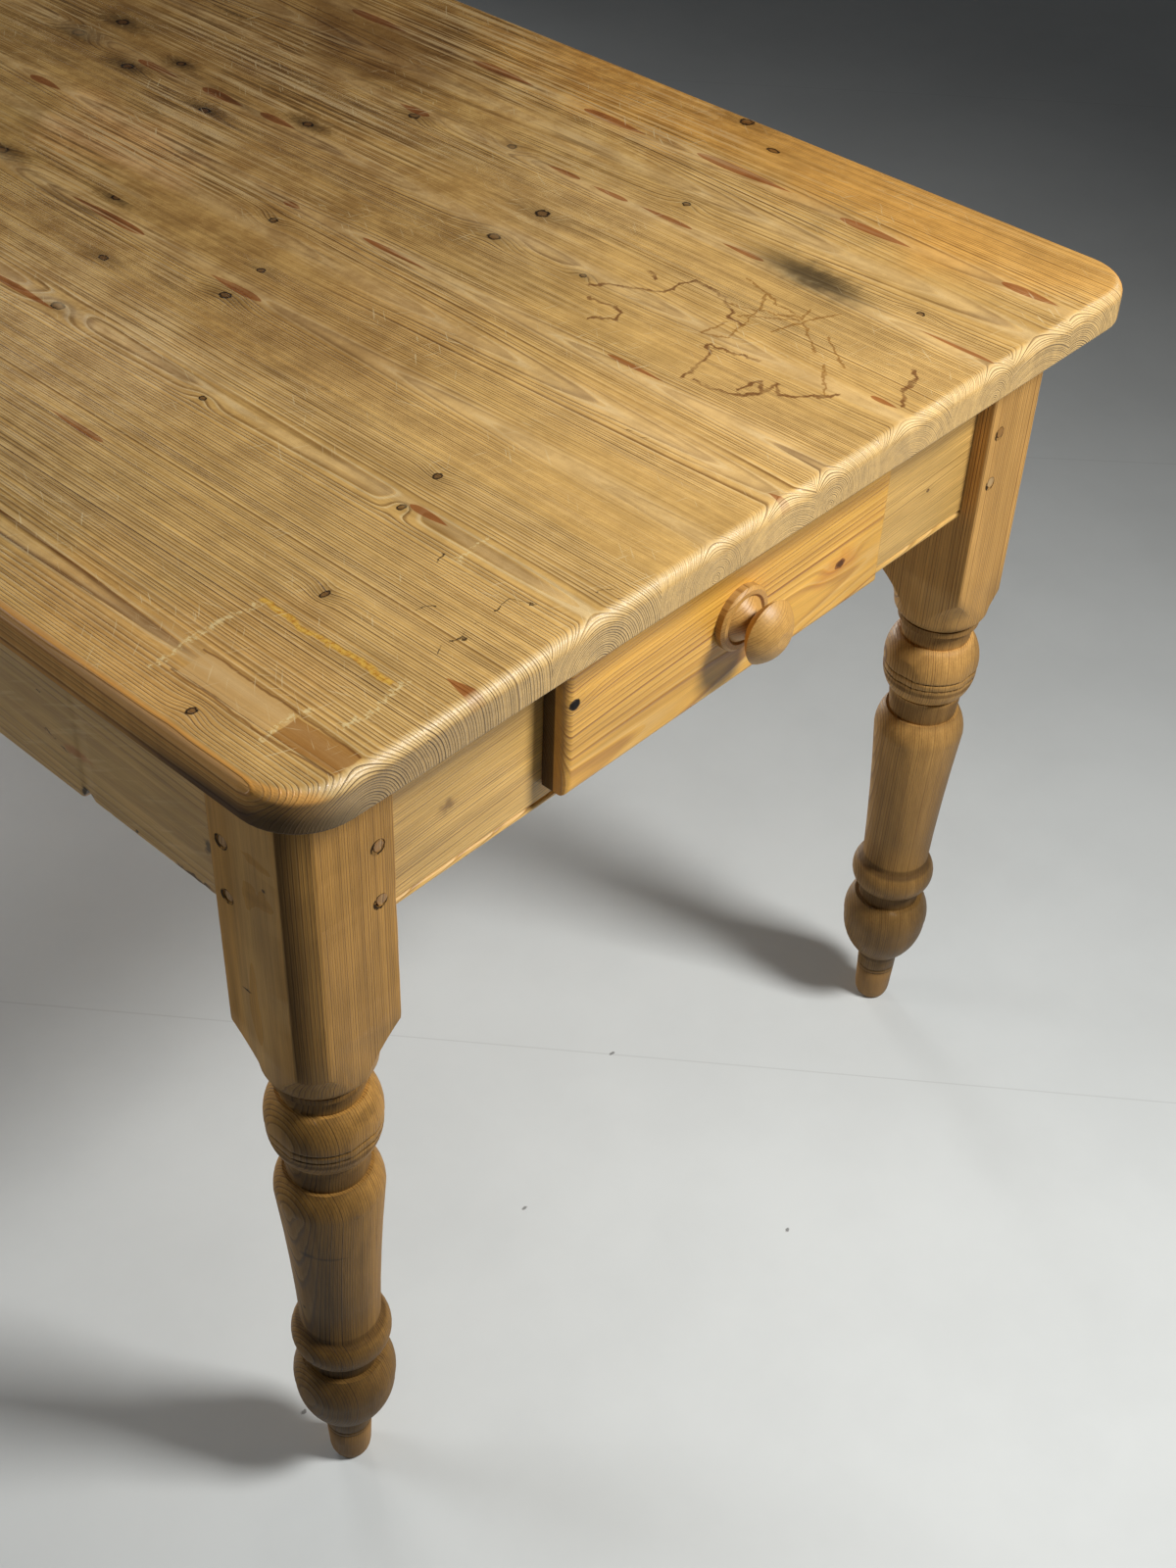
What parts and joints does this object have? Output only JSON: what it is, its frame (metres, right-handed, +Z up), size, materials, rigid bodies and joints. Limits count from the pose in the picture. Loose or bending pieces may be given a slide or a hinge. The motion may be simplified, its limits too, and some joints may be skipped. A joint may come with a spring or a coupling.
{
  "type": "kitchen table with drawers",
  "caption": "Long pine kitchen table with a round-cornered plank top on turned legs, and a lipped drawer with a turned knob in each end.",
  "frame": {"origin": "on the floor under the middle of the top", "axes": "+Z up, +Y along the top away from the first drawer, +X across it to the right of someone who faces that drawer"},
  "size_m": [0.816, 1.532, 0.765],
  "materials": {
    "top_pine": "waxed, worn satin",
    "leg_pine": "waxed, satin",
    "apron_pine": "waxed, satin",
    "drawer_front_pine": "waxed, satin",
    "knob_wood": "waxed, semi-gloss",
    "peg_wood": "waxed, satin",
    "drawer_box_pine": "bare, matt",
    "inner_pine": "bare, matt",
    "steel": "bright zinc"
  },
  "bodies": {
    "table": {"apron_back": "apron_pine", "apron_front": "apron_pine", "apron_left": "apron_pine", "apron_right": "apron_pine", "bearer_back": "inner_pine", "bearer_front": "inner_pine", "button_screws": "steel", "guide_back_left": "inner_pine", "guide_back_right": "inner_pine", "guide_front_left": "inner_pine", "guide_front_right": "inner_pine", "kicker_back_left": "inner_pine", "kicker_back_right": "inner_pine", "kicker_front_left": "inner_pine", "kicker_front_right": "inner_pine", "leg_back_left": "leg_pine", "leg_back_right": "leg_pine", "leg_front_left": "leg_pine", "leg_front_right": "leg_pine", "pegs_back_left": "peg_wood", "pegs_back_right": "peg_wood", "pegs_front_left": "peg_wood", "pegs_front_right": "peg_wood", "runner_back_left": "inner_pine", "runner_back_right": "inner_pine", "runner_front_left": "inner_pine", "runner_front_right": "inner_pine", "top_board_1": "top_pine", "top_board_10": "top_pine", "top_board_2": "top_pine", "top_board_3": "top_pine", "top_board_4": "top_pine", "top_board_5": "top_pine", "top_board_6": "top_pine", "top_board_7": "top_pine", "top_board_8": "top_pine", "top_board_9": "top_pine", "top_buttons_left": "inner_pine", "top_buttons_right": "inner_pine"},
    "front_drawer": {"front_drawer_back": "drawer_box_pine", "front_drawer_bottom": "drawer_box_pine", "front_drawer_front": "drawer_front_pine", "front_drawer_knob": "knob_wood", "front_drawer_knob_screw": "steel", "front_drawer_side_left": "drawer_box_pine", "front_drawer_side_right": "drawer_box_pine"},
    "back_drawer": {"back_drawer_back": "drawer_box_pine", "back_drawer_bottom": "drawer_box_pine", "back_drawer_front": "drawer_front_pine", "back_drawer_knob": "knob_wood", "back_drawer_knob_screw": "steel", "back_drawer_side_left": "drawer_box_pine", "back_drawer_side_right": "drawer_box_pine"}
  },
  "joints": [
    {"name": "front_drawer_slide", "type": "slide", "parent": "table", "child": "front_drawer", "axis": [0, -1, 0], "range_m": [0, 0.34]},
    {"name": "back_drawer_slide", "type": "slide", "parent": "table", "child": "back_drawer", "axis": [0, 1, 0], "range_m": [0, 0.34]}
  ]
}
